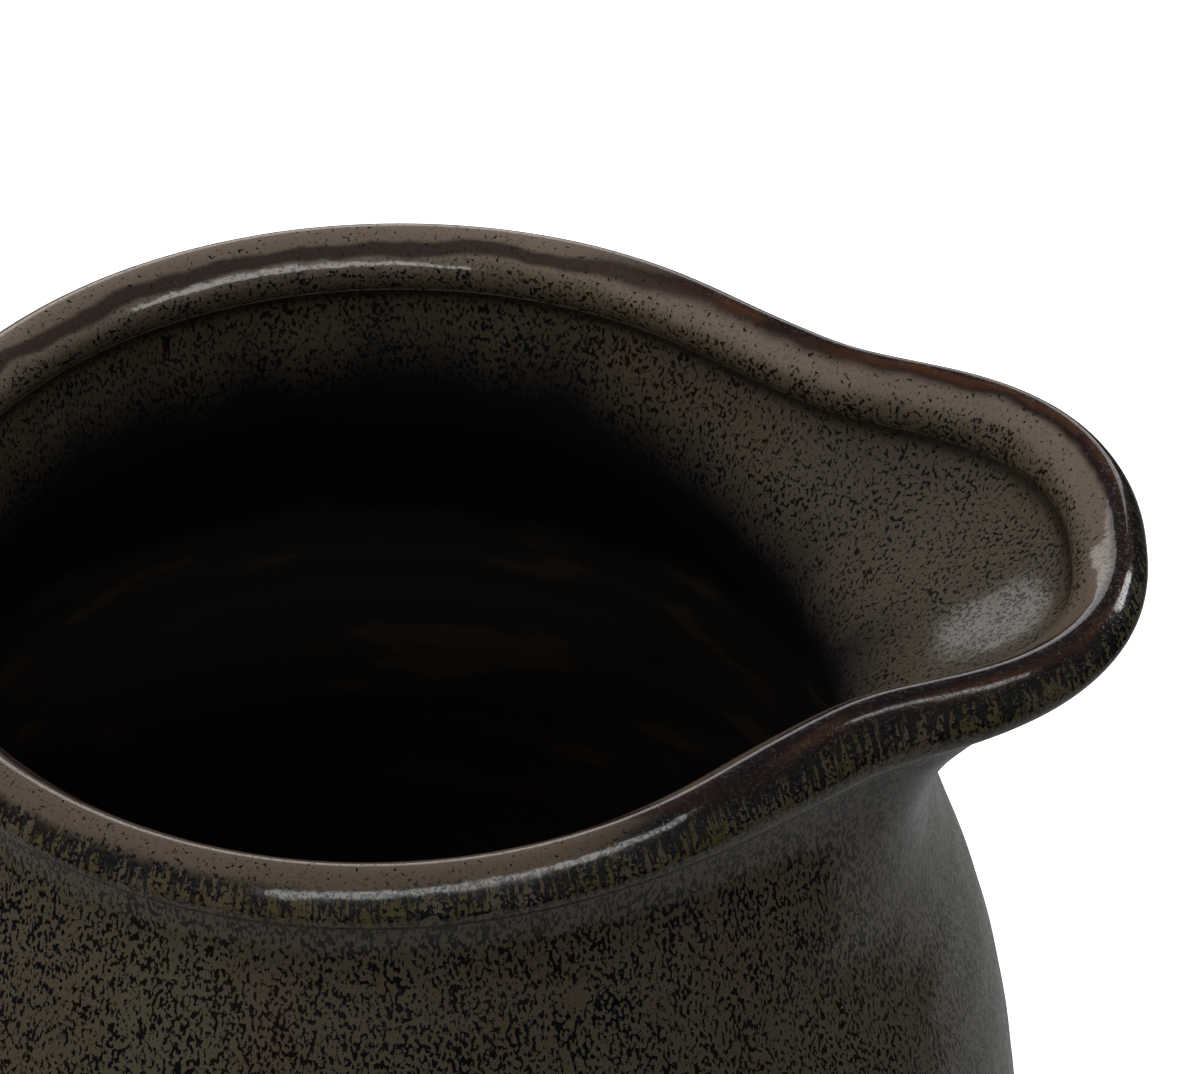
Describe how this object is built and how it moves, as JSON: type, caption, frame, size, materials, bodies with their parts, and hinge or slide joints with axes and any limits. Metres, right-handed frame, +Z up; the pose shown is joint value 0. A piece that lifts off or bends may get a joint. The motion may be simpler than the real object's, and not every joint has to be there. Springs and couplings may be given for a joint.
{
  "type": "sake bottle",
  "caption": "Wide-mouthed glazed stoneware pouring bottle with an egg-shaped body, short neck, rolled rim and one pulled pouring lip, standing on a turned foot ring.",
  "frame": {"origin": "centre of the foot ring's standing edge, on the body's turning axis", "axes": "+Z up along the turning axis, +X towards the pouring lip, +Y to the left seen from behind the lip"},
  "size_m": [0.0894, 0.0854, 0.1307],
  "materials": {
    "bare_clay": "unglazed fired stoneware, slightly gritty",
    "wall_glaze": "glossy warm grey glaze with fine blue-black specks",
    "rim_glaze": "glossy glaze breaking to dark and amber on the crest, streaked below",
    "inside_glaze": "glossy warm grey glaze with fine blue-black specks, darker deep inside",
    "foot_glaze": "thin pooled glaze in the foot recess"
  },
  "bodies": {
    "root": {"foot_ring": "bare_clay", "base_disc": "bare_clay", "belly_wall": "bare_clay", "shoulder_wall": "bare_clay", "neck_collar": "bare_clay", "pouring_lip": "bare_clay", "rim_roll": "bare_clay", "outer_glaze": "wall_glaze", "rim_glaze": "rim_glaze", "inner_glaze": "inside_glaze", "base_glaze": "foot_glaze"}
  },
  "joints": []
}
